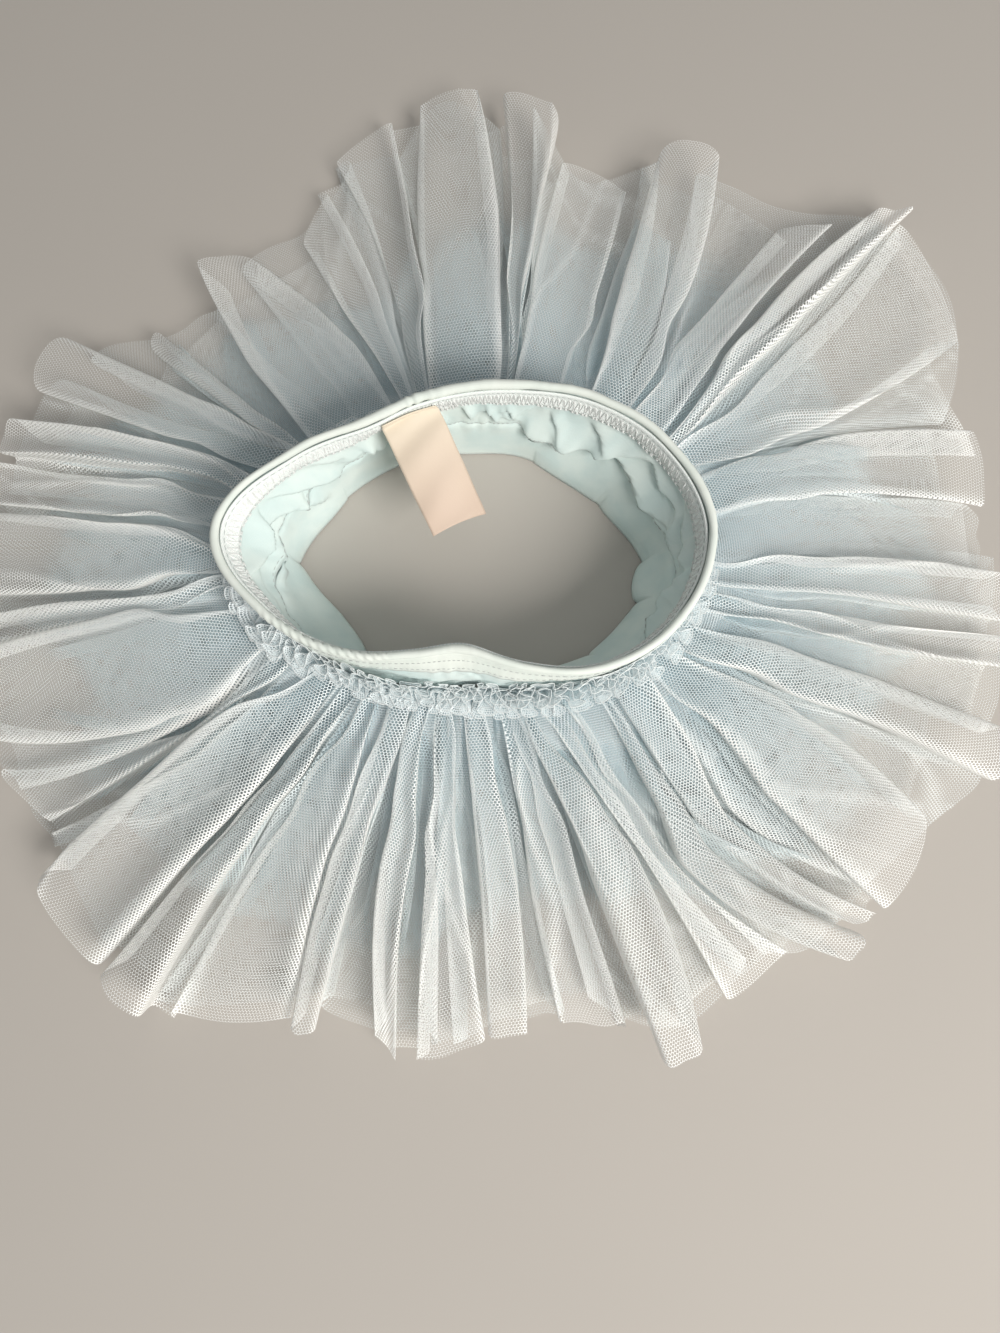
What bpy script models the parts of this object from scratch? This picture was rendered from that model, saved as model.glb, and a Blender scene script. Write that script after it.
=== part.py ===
"""Ballet tutu, laid flat on its underside: a child's pull-on half tutu.

A tube of stretch knit (the yoke) stands on its lower edge, with an elastic casing rolled over
at the top. Four gathered strips of net leave the yoke at one seam and spread over the surface
in flutes. Units are metres, +Z is up, +X is the wearer's left, and the origin is the middle of
the underside. Angles are in degrees, counter-clockwise from +X about the waist's centre.
"""
import math

import bpy
import numpy as np

# Driving dimensions
RIM_HEIGHT = 0.0540        # centre of the rolled casing, before each row's own lift
CASING_RADIUS = 0.0022     # the roll is 4.4 mm thick
SEAM_HEIGHT = 0.0260       # where the net strips are sewn on
SEAM_GAP = 0.0003          # clearance between neighbouring pieces
YOKE_WALL = 0.0015         # doubled stretch knit
ELASTIC_WALL = 0.0010
ELASTIC_WIDTH = 0.0080
NET_WALL = 0.0018          # measured straight down through a fluted strip
NET_PITCH = 0.0023         # from one strip's underside to the next
ROOT_HEIGHT = 0.0188       # underside of the lowest strip at the seam
UPPER_EASE = 0.8           # below 1 the tube narrows mostly near the seam
LOWER_EASE = 1.5           # above 1 it goes on narrowing just under the seam
HEADING_WALL = 0.0012
HEADING_BASE = 0.0290
HEADING_HEIGHT = 0.0090
HEADING_LEAN = 0.0065      # how far the ruffled edge falls outwards
HEADING_WAVE = 0.0024
LABEL_WIDTH = 0.0240
LABEL_WALL = 0.0010

# Plan of the tube about the waist's centre: outer radius at the rim, the rim's own lift,
# outer radius at the seam and outer radius at the lower edge.
YOKE_COLUMNS = ("angle", "rim", "lift", "seam", "floor")
YOKE_ROWS = (
    (0.0, 0.0966, 0.0000, 0.0860, 0.0770),
    (22.5, 0.0880, 0.0005, 0.0780, 0.0660),
    (45.0, 0.0757, 0.0010, 0.0690, 0.0590),
    (67.5, 0.0645, 0.0010, 0.0600, 0.0565),
    (90.0, 0.0590, 0.0010, 0.0560, 0.0535),
    (112.5, 0.0580, 0.0005, 0.0560, 0.0560),
    (135.0, 0.0610, 0.0000, 0.0600, 0.0600),
    (157.5, 0.0780, -0.0010, 0.0700, 0.0670),
    (180.0, 0.0966, -0.0020, 0.0810, 0.0760),
    (202.5, 0.0840, -0.0030, 0.0780, 0.0680),
    (225.0, 0.0690, -0.0040, 0.0710, 0.0610),
    (247.5, 0.0575, -0.0020, 0.0625, 0.0540),
    (270.0, 0.0500, 0.0010, 0.0575, 0.0500),
    (292.5, 0.0600, 0.0000, 0.0635, 0.0540),
    (315.0, 0.0770, 0.0000, 0.0750, 0.0630),
    (337.5, 0.0905, 0.0000, 0.0850, 0.0730),
)

# The skirt's flutes, one row for the crest of each: its angle at the seam, its angle at the
# hem, its reach from the waist's centre and how high the crest stands at the hem.
FLUTE_COLUMNS = ("root", "hem", "reach", "rise")
FLUTE_ROWS = (
    (8.0, 8.0, 0.226, 0.022),
    (17.0, 24.0, 0.243, 0.014),
    (25.0, 38.0, 0.256, 0.022),
    (35.0, 48.5, 0.213, 0.013),
    (46.0, 60.0, 0.225, 0.018),
    (58.0, 67.5, 0.208, 0.018),
    (69.0, 79.5, 0.216, 0.017),
    (81.0, 90.5, 0.231, 0.022),
    (95.0, 99.0, 0.214, 0.018),
    (110.0, 109.5, 0.182, 0.015),
    (127.0, 120.0, 0.160, 0.012),
    (143.0, 131.5, 0.186, 0.018),
    (153.0, 142.0, 0.178, 0.016),
    (160.0, 151.5, 0.201, 0.018),
    (167.0, 164.5, 0.216, 0.020),
    (178.0, 175.5, 0.222, 0.016),
    (189.0, 186.5, 0.226, 0.014),
    (198.0, 197.5, 0.226, 0.018),
    (206.0, 208.5, 0.220, 0.014),
    (217.0, 220.0, 0.220, 0.020),
    (227.0, 230.0, 0.217, 0.018),
    (237.0, 241.5, 0.212, 0.014),
    (247.0, 252.0, 0.198, 0.018),
    (257.0, 262.0, 0.201, 0.018),
    (267.0, 272.5, 0.194, 0.016),
    (279.0, 283.0, 0.194, 0.014),
    (292.0, 293.0, 0.211, 0.020),
    (305.0, 303.5, 0.209, 0.014),
    (318.0, 314.0, 0.217, 0.020),
    (330.0, 327.0, 0.218, 0.014),
    (340.0, 340.0, 0.236, 0.018),
    (351.0, 354.0, 0.231, 0.014),
)
PARTS_OF_FLUTE = 3         # columns from one crest to the next: crest, then a flat-bottomed trough
TROUGH_REACH = 0.955       # the hem is cut straight, so it draws in where the cloth goes down
TROUGH_LANDS = 0.8         # share of the length at which the troughs meet the surface
CREST_SWELL = 0.0030       # how far the crests stand above a straight line, midway out

# Each strip: node, its place in the stack from the lowest, and its rings as shares of the length.
SHORT_SHARE = 0.68
SHORT_RINGS = (0.0, 0.12, 0.38, SHORT_SHARE)
LONG_RINGS = (*SHORT_RINGS, 1.0)
STRIPS = (
    ("tulle_short_lower", 0, SHORT_RINGS),
    ("tulle_short_upper", 1, SHORT_RINGS),
    ("tulle_long_under", 2, LONG_RINGS),
    ("tulle_long_top", 3, LONG_RINGS),
)
SHORT_STRIPS = 2

# The care label's centre line, about the waist's centre: from the casing, out over the opening.
LABEL_COLUMNS = ("x", "y", "z")
LABEL_ROWS = (
    (-0.0234, 0.0462, 0.0465),
    (-0.0203, 0.0390, 0.0455),
    (-0.0150, 0.0280, 0.0420),
    (-0.0085, 0.0165, 0.0360),
    (-0.0025, 0.0070, 0.0290),
)
LABEL_SIDE = (0.886, 0.464, 0.0)

CASING_STEPS = 48
CASING_SIDES = 6
YOKE_STEPS = 48
HEADING_STEPS = 66


def clearScene():
    for thing in list(bpy.data.objects):
        bpy.data.objects.remove(thing, do_unlink=True)


def column(rows, names, name):
    return np.array([row[names.index(name)] for row in rows])


def aroundCurve(angles, rowAngles, values):
    """Catmull-Rom curve through one column of a table, closed over a full turn."""
    count = len(rowAngles)
    at = np.asarray(angles) % 360.0
    first = np.searchsorted(rowAngles, at, side="right") - 1
    last = (first + 1) % count
    span = (rowAngles[last] - rowAngles[first]) % 360.0
    part = (at - rowAngles[first]) / span
    before = values[(first - 1) % count]
    here = values[first]
    there = values[last]
    after = values[(first + 2) % count]
    slopeHere = 0.5 * (there - before)
    slopeThere = 0.5 * (after - here)
    square = part * part
    cube = square * part
    return ((2 * cube - 3 * square + 1) * here + (cube - 2 * square + part) * slopeHere
            + (3 * square - 2 * cube) * there + (cube - square) * slopeThere)


def yokeCurve(angles, name):
    rowAngles = column(YOKE_ROWS, YOKE_COLUMNS, "angle")
    return aroundCurve(angles, rowAngles, column(YOKE_ROWS, YOKE_COLUMNS, name))


def ring(angles, radii, heights):
    """Points around the waist's centre, one for each angle in degrees."""
    turn = np.radians(angles)
    return np.stack([radii * np.cos(turn), radii * np.sin(turn), heights + 0 * turn], axis=-1)


def fluteColumns():
    """Root angle, hem angle, reach and hem height of each column of cloth around the skirt."""
    root = column(FLUTE_ROWS, FLUTE_COLUMNS, "root")
    hem = column(FLUTE_ROWS, FLUTE_COLUMNS, "hem")
    reach = column(FLUTE_ROWS, FLUTE_COLUMNS, "reach")
    rise = column(FLUTE_ROWS, FLUTE_COLUMNS, "rise")
    rows = []
    for number in range(len(FLUTE_ROWS)):
        after = (number + 1) % len(FLUTE_ROWS)
        rootSpan = (root[after] - root[number]) % 360.0
        hemSpan = (hem[after] - hem[number]) % 360.0
        for part in range(PARTS_OF_FLUTE):
            share = part / PARTS_OF_FLUTE
            draw = 1.0 if part == 0 else TROUGH_REACH
            crest = 1.0 if part == 0 else 0.0
            rows.append((root[number] + share * rootSpan, hem[number] + share * hemSpan,
                         draw * ((1 - share) * reach[number] + share * reach[after]),
                         crest * rise[number], crest))
    return np.array(rows).T


def stripRings(shares, layer):
    """Underside of one strip: a fan of columns from the seam to the hem, fluted more and more."""
    root, hem, reach, rise, crest = fluteColumns()
    settle = SHORT_STRIPS * NET_PITCH
    stackTop = ROOT_HEIGHT + len(STRIPS) * NET_PITCH
    start = np.maximum(yokeRadius(root, SEAM_HEIGHT), yokeRadius(root, stackTop)) + 2 * SEAM_GAP
    rings = []
    for share in shares:
        angle = root + share * (hem - root)
        radius = start + share * (reach - start)
        crestLine = ROOT_HEIGHT + share * (rise - ROOT_HEIGHT) + CREST_SWELL * math.sin(math.pi * share)
        troughLine = ROOT_HEIGHT * max(0.0, 1.0 - share / TROUGH_LANDS)
        height = crest * crestLine + (1.0 - crest) * troughLine
        beyond = max(0.0, (share - SHORT_SHARE) / (1.0 - SHORT_SHARE))
        drop = settle * beyond if layer >= SHORT_STRIPS else 0.0
        rings.append(ring(angle, radius, height + layer * NET_PITCH - drop))
    return np.array(rings)


def waistOffset():
    """Where the waist's centre lies, so that the origin is the middle of the skirt's plan."""
    outline = stripRings((1.0,), len(STRIPS) - 1)[0]
    return -0.5 * (outline.min(axis=0) + outline.max(axis=0)) * np.array([1.0, 1.0, 0.0])


def plainMaterial(name, color, roughness):
    material = bpy.data.materials.new(name)
    material.use_nodes = True
    shader = material.node_tree.nodes["Principled BSDF"]
    shader.inputs["Base Color"].default_value = (*color, 1.0)
    shader.inputs["Roughness"].default_value = roughness
    shader.inputs["Metallic"].default_value = 0.0
    return material


def addObject(name, points, faces, material, smooth=False):
    mesh = bpy.data.meshes.new(name)
    mesh.from_pydata([tuple(point) for point in points], [], faces)
    mesh.update()
    mesh.materials.append(material)
    if smooth:
        mesh.shade_smooth()
    thing = bpy.data.objects.new(name, mesh)
    bpy.context.scene.collection.objects.link(thing)
    return thing


def addWall(name, outer, inner, material):
    """A closed wall around the waist between two sets of rings, listed so that the outer set's
    faces point out. Every four-sided patch is cut along the same diagonal."""
    rings, steps = outer.shape[:2]
    points = np.concatenate([outer.reshape(-1, 3), inner.reshape(-1, 3)]) + waistOffset()
    under = rings * steps
    faces = []

    def patch(a, b, c, d):
        faces.append((a, b, c))
        faces.append((a, c, d))

    for level in range(rings - 1):
        for step in range(steps):
            here = level * steps + step
            turn = level * steps + (step + 1) % steps
            patch(here, here + steps, turn + steps, turn)
            faces.append((under + here, under + turn, under + turn + steps))
            faces.append((under + here, under + turn + steps, under + here + steps))
    for step in range(steps):
        turn = (step + 1) % steps
        patch(step, turn, under + turn, under + step)
        top = (rings - 1) * steps
        patch(top + step, under + top + step, under + top + turn, top + turn)
    return addObject(name, points, faces, material)


def buildCasing(material):
    """The rolled edge: a circle carried round the rim's plan."""
    angles = np.arange(CASING_STEPS) * 360.0 / CASING_STEPS
    middle = ring(angles, yokeCurve(angles, "rim") - CASING_RADIUS,
                  RIM_HEIGHT + yokeCurve(angles, "lift"))
    outward = middle * np.array([1.0, 1.0, 0.0])
    outward /= np.linalg.norm(outward, axis=1)[:, None]
    points = []
    for side in range(CASING_SIDES):
        turn = 2 * math.pi * (side + 0.5) / CASING_SIDES
        offset = outward * math.cos(turn) + np.array([0.0, 0.0, 1.0]) * math.sin(turn)
        points.append(middle + CASING_RADIUS * offset)
    points = np.array(points)
    faces = []
    for side in range(CASING_SIDES):
        for step in range(CASING_STEPS):
            a = side * CASING_STEPS + step
            b = side * CASING_STEPS + (step + 1) % CASING_STEPS
            above = (side + 1) % CASING_SIDES * CASING_STEPS
            c = above + (step + 1) % CASING_STEPS
            d = above + step
            faces.append((a, b, c))
            faces.append((a, c, d))
    return addObject("waist_casing", points.reshape(-1, 3) + waistOffset(), faces, material, smooth=True)


def yokeRadius(angles, height):
    """Outer radius of the knit tube: rim to seam to lower edge, in two eased stretches."""
    seam = yokeCurve(angles, "seam")
    if height >= SEAM_HEIGHT:
        share = (height - SEAM_HEIGHT) / (RIM_HEIGHT - CASING_RADIUS - SEAM_HEIGHT)
        rim = yokeCurve(angles, "rim") - 0.5 * CASING_RADIUS
        return seam + share ** UPPER_EASE * (rim - seam)
    share = height / SEAM_HEIGHT
    floor = yokeCurve(angles, "floor")
    return floor + share ** LOWER_EASE * (seam - floor)


def yokeWall(angles, heights, wall, follow, inset=0.0):
    """Outer and inner rings of a stretch of the tube. follow is how far a ring lifts with the rim."""
    outer = []
    inner = []
    for height, lift in zip(heights, follow):
        radius = yokeRadius(angles, height) - inset
        level = height + lift * yokeCurve(angles, "lift")
        outer.append(ring(angles, radius, level))
        inner.append(ring(angles, radius - wall, level))
    return np.array(outer), np.array(inner)


def buildYoke(material):
    angles = np.arange(YOKE_STEPS) * 360.0 / YOKE_STEPS
    rimTop = RIM_HEIGHT - CASING_RADIUS - SEAM_GAP
    upper = (rimTop, rimTop - ELASTIC_WIDTH, SEAM_HEIGHT + SEAM_GAP)
    outer, inner = yokeWall(angles, upper, YOKE_WALL, follow=(1.0, 1.0, 0.0))
    addWall("yoke_upper", outer, inner, material)
    lower = (SEAM_HEIGHT, ROOT_HEIGHT, 0.4 * ROOT_HEIGHT, 0.0)
    outer, inner = yokeWall(angles, lower, YOKE_WALL, follow=(0.0, 0.0, 0.0, 0.0))
    addWall("yoke_lower", outer, inner, material)


def buildElastic(material):
    """The elastic lies on the inside of the upper yoke, just under the roll."""
    angles = np.arange(YOKE_STEPS) * 360.0 / YOKE_STEPS
    top = RIM_HEIGHT - CASING_RADIUS - SEAM_GAP
    outer, inner = yokeWall(angles, (top, top - ELASTIC_WIDTH), ELASTIC_WALL,
                            inset=YOKE_WALL + SEAM_GAP, follow=(1.0, 1.0))
    addWall("waist_elastic", outer, inner, material)


def buildHeading(material):
    """The ruffled edge above the seam: a wall that swings in and out and falls outwards."""
    angles = np.arange(HEADING_STEPS) * 360.0 / HEADING_STEPS
    swing = np.cos(np.arange(HEADING_STEPS) * math.pi)
    outer = []
    inner = []
    for share in (1.0, 0.5, 0.0):
        sway = HEADING_WAVE * (0.5 + 0.5 * share) * (1.0 + swing)
        level = HEADING_BASE + HEADING_HEIGHT * share
        radius = yokeRadius(angles, level) + HEADING_WALL + 2 * SEAM_GAP + HEADING_LEAN * share + sway
        outer.append(ring(angles, radius, level))
        inner.append(ring(angles, radius - HEADING_WALL, level))
    return addWall("tulle_heading", np.array(outer), np.array(inner), material)


def buildStrips(material):
    """The four net strips, each a vertical wall's thickness above its own underside."""
    for name, layer, shares in STRIPS:
        under = stripRings(shares, layer)
        over = under + np.array([0.0, 0.0, NET_WALL])
        addWall(name, over, under, material)


def buildLabel(material):
    """A bare satin strip, carried along its centre line."""
    line = np.array(LABEL_ROWS)
    side = np.array(LABEL_SIDE)
    along = np.gradient(line, axis=0)
    along /= np.linalg.norm(along, axis=1)[:, None]
    up = np.cross(side, along)
    up /= np.linalg.norm(up, axis=1)[:, None]
    up *= np.sign(up[:, 2:3])
    points = []
    for across, rise in ((-0.5, 0.0), (0.5, 0.0), (0.5, 1.0), (-0.5, 1.0)):
        points.append(line + LABEL_WIDTH * across * side + LABEL_WALL * rise * up)
    points = np.array(points).transpose(1, 0, 2).reshape(-1, 3) + waistOffset()
    faces = [(3, 2, 1, 0)]
    for row in range(len(line) - 1):
        for edge in range(4):
            a = 4 * row + edge
            b = 4 * row + (edge + 1) % 4
            faces.append((a, b, b + 4, a + 4))
    end = 4 * (len(line) - 1)
    faces.append((end, end + 1, end + 2, end + 3))
    return addObject("care_label", points, faces, material)


def build():
    clearScene()
    buildCasing(plainMaterial("casing_knit", (0.80, 0.86, 0.82), 0.7))
    buildElastic(plainMaterial("elastic_grey", (0.72, 0.77, 0.77), 0.85))
    buildYoke(plainMaterial("yoke_knit", (0.50, 0.72, 0.70), 0.6))
    buildHeading(plainMaterial("heading_net", (0.50, 0.66, 0.74), 0.7))
    buildStrips(plainMaterial("skirt_net", (0.66, 0.72, 0.74), 0.7))
    buildLabel(plainMaterial("label_satin", (0.86, 0.76, 0.72), 0.45))


build()
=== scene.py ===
# Ballet tutu, laid down on its underside: knit yoke, rolled elastic edge and a gathered net skirt.
# Metres, +Z up. Tables are in degrees, counter-clockwise about the waist, and in millimetres.
import math
import bpy
import numpy as np
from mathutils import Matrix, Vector


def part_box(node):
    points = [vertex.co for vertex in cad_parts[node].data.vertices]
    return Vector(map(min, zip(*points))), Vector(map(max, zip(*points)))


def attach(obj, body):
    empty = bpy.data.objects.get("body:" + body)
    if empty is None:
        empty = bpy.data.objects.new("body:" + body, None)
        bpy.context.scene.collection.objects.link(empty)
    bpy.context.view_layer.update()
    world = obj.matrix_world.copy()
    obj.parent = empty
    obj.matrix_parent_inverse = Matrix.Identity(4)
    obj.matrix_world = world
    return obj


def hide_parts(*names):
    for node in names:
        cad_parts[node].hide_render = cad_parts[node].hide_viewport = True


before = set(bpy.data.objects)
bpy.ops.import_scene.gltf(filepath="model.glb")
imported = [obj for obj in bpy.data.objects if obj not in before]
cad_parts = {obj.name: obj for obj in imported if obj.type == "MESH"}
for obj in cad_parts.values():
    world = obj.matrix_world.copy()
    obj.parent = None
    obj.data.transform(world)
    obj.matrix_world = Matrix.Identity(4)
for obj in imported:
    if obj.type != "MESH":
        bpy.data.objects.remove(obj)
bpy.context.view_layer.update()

milli = 0.001
lowYoke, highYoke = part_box("yoke_upper")
waist = (-2.6 * milli, -16.0 * milli)      # the waist's centre in plan
seamHeight = lowYoke.z - 0.3 * milli       # the net is gathered in at this height
rollFoot = 51.8 * milli                    # the roll begins here, before each side's own lift


def smoothStep(low, high, value):
    # 0 below low, 1 above high, eased between: 3t squared minus 2t cubed
    share = np.clip((value - low) / (high - low), 0.0, 1.0)
    return share * share * (3.0 - 2.0 * share)


def catmullRom(before, here, there, after, part):
    # cubic from here to there whose slope at each is half the step between its neighbours
    square = part * part
    cube = square * part
    return ((2 * cube - 3 * square + 1) * here + (cube - 2 * square + part) * 0.5 * (there - before)
            + (3 * square - 2 * cube) * there + (cube - square) * 0.5 * (after - here))


def closedCurve(at, knots, values, period):
    # smooth curve through values at uneven knots, repeating after one period
    knots = np.asarray(knots, float)
    values = np.asarray(values, float)
    count = len(knots)
    spot = np.mod(np.asarray(at, float) - knots[0], period) + knots[0]
    first = np.clip(np.searchsorted(knots, spot, side="right") - 1, 0, count - 1)
    last = (first + 1) % count
    span = np.mod(knots[last] - knots[first], period)
    return catmullRom(values[(first - 1) % count], values[first], values[last],
                      values[(first + 2) % count], (spot - knots[first]) / span)


def closedNoise(at, count, seed):
    # smooth random line from -1 to 1 with count knots over one turn; at runs from 0 to 1
    values = np.random.default_rng(seed).uniform(-1.0, 1.0, count)
    return closedCurve(at, np.arange(count) / count, values, 1.0)


def clothNoise(turn, share, count, up, seed):
    # smooth random surface from -1 to 1: closed round the turn, open along the share from 0 to 1
    values = np.random.default_rng(seed).uniform(-1.0, 1.0, (up + 1, count))
    lines = np.stack([closedCurve(turn[0], np.arange(count) / count, row, 1.0) for row in values])
    spot = np.clip(share[:, 0], 0.0, 1.0) * up
    low = np.minimum(spot.astype(int), up - 1)
    part = (spot - low)[:, None]
    part = part * part * (3.0 - 2.0 * part)
    return lines[low] * (1.0 - part) + lines[low + 1] * part


def tableColumn(setup, rows, name):
    # one named column of a dictionary's table, as an array
    at = setup[rows + "Columns"].index(name)
    return np.array([row[at] for row in setup[rows]])


def tableCurve(angle, setup, rows, name):
    # smooth closed curve of a table's column over its angles
    return closedCurve(angle, tableColumn(setup, rows, "angle"), tableColumn(setup, rows, name), 360.0)


def around(angle, radius, height):
    # point at that angle and distance from the waist's centre
    turn = np.radians(angle)
    x = waist[0] + radius * np.cos(turn)
    y = waist[1] + radius * np.sin(turn)
    return np.stack(np.broadcast_arrays(x, y, height), axis=-1)


def addPiece(name, mesh):
    # a smooth object of that mesh, in the scene
    mesh.shade_smooth()
    piece = bpy.data.objects.new(name, mesh)
    bpy.context.scene.collection.objects.link(piece)
    return piece


def gridMesh(name, points, closedAlong=True, closedUp=False, uv=None, masks=None, flip=False):
    # rows x columns of points joined into quads; uv has one more row and column than closed points
    rows, columns = points.shape[:2]
    up = np.arange(rows if closedUp else rows - 1)
    along = np.arange(columns if closedAlong else columns - 1)
    row, column = np.meshgrid(up, along, indexing="ij")
    corners = [(row, column), (row, column + 1), (row + 1, column + 1), (row + 1, column)]
    if flip:
        corners.reverse()
    quads = np.stack([r % rows * columns + c % columns for r, c in corners], axis=-1).reshape(-1, 4)
    mesh = bpy.data.meshes.new(name)
    mesh.vertices.add(rows * columns)
    mesh.vertices.foreach_set("co", points.reshape(-1).astype(np.float32))
    mesh.loops.add(quads.size)
    mesh.loops.foreach_set("vertex_index", quads.reshape(-1).astype(np.int32))
    mesh.polygons.add(len(quads))
    mesh.polygons.foreach_set("loop_start", np.arange(0, quads.size, 4, dtype=np.int32))
    mesh.update(calc_edges=True)
    if uv is not None:
        spots = np.stack([uv[r, c] for r, c in corners], axis=-2)
        layer = mesh.uv_layers.new(name="cloth")
        layer.data.foreach_set("uv", spots.reshape(-1).astype(np.float32))
    for mask, values in (masks or {}).items():
        layer = mesh.attributes.new(mask, "FLOAT", "POINT")
        spread = np.broadcast_to(values, (rows, columns)).reshape(-1)
        layer.data.foreach_set("value", spread.astype(np.float32))
    return addPiece(name, mesh)


def walkedUv(points, closedUp=False, at=0.5):
    # u is the length walked along one row, v the mean length walked up from row to row
    rows = len(points)
    wrapped = np.concatenate([points, points[:1]]) if closedUp else points
    step = np.linalg.norm(np.roll(wrapped, -1, axis=1) - wrapped, axis=-1)
    walk = np.concatenate([[0.0], np.cumsum(step[int(at * (rows - 1))])])
    rise = np.linalg.norm(np.diff(wrapped, axis=0), axis=-1).mean(axis=1)
    climb = np.concatenate([[0.0], np.cumsum(rise)])[:, None]
    return np.stack(np.broadcast_arrays(walk[None], climb), axis=-1)


def tubePoints(path, radius, sides):
    # circles of that radius round each point of a path, square to it: rows are the sides
    ahead = np.gradient(path, axis=-2)
    ahead /= np.linalg.norm(ahead, axis=-1, keepdims=True)
    side = np.cross(ahead, np.array([0.03, 0.05, 1.0]))
    side /= np.linalg.norm(side, axis=-1, keepdims=True)
    up = np.cross(side, ahead)
    turn = (np.arange(sides) * 2 * math.pi / sides)[:, None, None]
    thick = np.broadcast_to(radius, path.shape[:-1])[None, ..., None]
    turn = turn.reshape((sides,) + (1,) * path.ndim)
    return path[None] + thick * (np.cos(turn) * side[None] + np.sin(turn) * up[None])


def threadMesh(name, paths, radius):
    # many short closed threads in one mesh: paths is threads x points x 3, tapered at both ends
    threads, points = paths.shape[:2]
    sides = 4
    share = np.linspace(0.0, 1.0, points)
    taper = np.sqrt(np.clip(1.0 - (2.0 * share - 1.0) ** 6, 0.12, 1.0))
    rings = tubePoints(paths, radius * taper[None, :], sides).transpose(1, 2, 0, 3)
    base = (np.arange(threads) * points * sides)[:, None, None]
    ring = (np.arange(points - 1) * sides)[None, :, None]
    here = np.arange(sides)[None, None, :]
    there = (here + 1) % sides
    quads = np.stack(np.broadcast_arrays(base + ring + here, base + ring + sides + here,
                                         base + ring + sides + there, base + ring + there), axis=-1)
    faces = quads.reshape(-1, 4).tolist()
    first = (base[:, 0] + np.arange(sides)[None]).tolist()
    last = (base[:, 0] + (points - 1) * sides + np.arange(sides)[None, ::-1]).tolist()
    mesh = bpy.data.meshes.new(name)
    mesh.from_pydata(rings.reshape(-1, 3).tolist(), [], faces + first + last)
    mesh.update()
    return addPiece(name, mesh)


def place(piece, material, slot, nodes=()):
    # every piece rides on the one body, has one finish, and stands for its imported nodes
    piece.data.materials.append(material)
    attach(piece, "root")
    if nodes:
        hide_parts(*nodes)
    return piece


print("shapes ready")


def addNode(tree, kind, values=None, **settings):
    # one shader node; a value that is a socket is linked, any other is set on the input
    node = tree.nodes.new("ShaderNode" + kind)
    for name, value in settings.items():
        setattr(node, name, value)
    for key, value in (values or {}).items():
        if isinstance(value, bpy.types.NodeSocket):
            tree.links.new(value, node.inputs[key])
        else:
            node.inputs[key].default_value = value
    return node


def calc(tree, operation, first, second=0.0, third=0.0):
    # one Math node and its output
    return addNode(tree, "Math", {0: first, 1: second, 2: third}, operation=operation).outputs[0]


def rangeMap(tree, value, fromLow, fromHigh, toLow, toHigh):
    # eased map of one range onto another
    node = addNode(tree, "MapRange", {"Value": value, "From Min": fromLow, "From Max": fromHigh,
                                      "To Min": toLow, "To Max": toHigh},
                   interpolation_type="SMOOTHSTEP")
    return node.outputs["Result"]


def mixColor(tree, share, first, second):
    # from the first colour to the second; a plain triple is made a colour
    colors = {6 + at: (*color, 1.0) if isinstance(color, tuple) else color
              for at, color in enumerate((first, second))}
    return addNode(tree, "Mix", {0: share, **colors}, data_type="RGBA").outputs[2]


def clothSpot(tree):
    # the piece's own UV map: metres across and up the cloth
    return addNode(tree, "UVMap", uv_map="cloth").outputs[0]


def finish(tree, shader, color, relief=None, strength=0.0):
    # colour, and where there is a relief, a bump a tenth of a millimetre deep
    tree.links.new(color, shader.inputs["Base Color"])
    if relief is not None:
        bump = addNode(tree, "Bump", {"Height": relief, "Strength": strength, "Distance": 0.0001})
        tree.links.new(bump.outputs[0], shader.inputs["Normal"])


def newGroup(name, inputs, outputs):
    # an empty node group with named sockets, and its input and output nodes
    tree = bpy.data.node_groups.new(name, "ShaderNodeTree")
    for label, value in inputs.items():
        kind = "NodeSocketVector" if isinstance(value, tuple) else "NodeSocketFloat"
        socket = tree.interface.new_socket(name=label, in_out="INPUT", socket_type=kind)
        socket.default_value = value
    for label in outputs:
        tree.interface.new_socket(name=label, in_out="OUTPUT", socket_type="NodeSocketFloat")
    return tree, tree.nodes.new("NodeGroupInput").outputs, tree.nodes.new("NodeGroupOutput").inputs


# The net's holes: how bare it is at rest, how much one unit of density closes it, how soft a
# thread's edge is, and how far a folded edge crowds it.
netLook = {"bare": -0.88, "perDensity": 4.2, "soft": 0.14, "foldCrowd": 0.45}


def buildNetGroup():
    # hexagon net: the sum of three cosines, 60 degrees apart, is lowest along a honeycomb
    tree, given, result = newGroup("hexagonNet", {"Cloth": (0.0, 0.0, 0.0), "Mesh": 0.00125,
                                                 "Density": 0.0}, ["Thread"])
    turns = calc(tree, "DIVIDE", 4 * math.pi / math.sqrt(3), given["Mesh"])
    total = None
    for angle in (30.0, 90.0, 150.0):
        aim = (math.cos(math.radians(angle)), math.sin(math.radians(angle)), 0.0)
        along = addNode(tree, "VectorMath", {0: given["Cloth"], 1: aim}, operation="DOT_PRODUCT")
        wave = calc(tree, "COSINE", calc(tree, "MULTIPLY", along.outputs["Value"], turns))
        total = wave if total is None else calc(tree, "ADD", total, wave)
    level = calc(tree, "MULTIPLY_ADD", given["Density"], netLook["perDensity"], netLook["bare"])
    gap = calc(tree, "SUBTRACT", total, level)
    thread = addNode(tree, "MapRange", {"Value": gap, "From Min": -netLook["soft"],
                                        "From Max": netLook["soft"], "To Min": 1.0, "To Max": 0.0})
    tree.links.new(thread.outputs["Result"], result["Thread"])
    return tree


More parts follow.
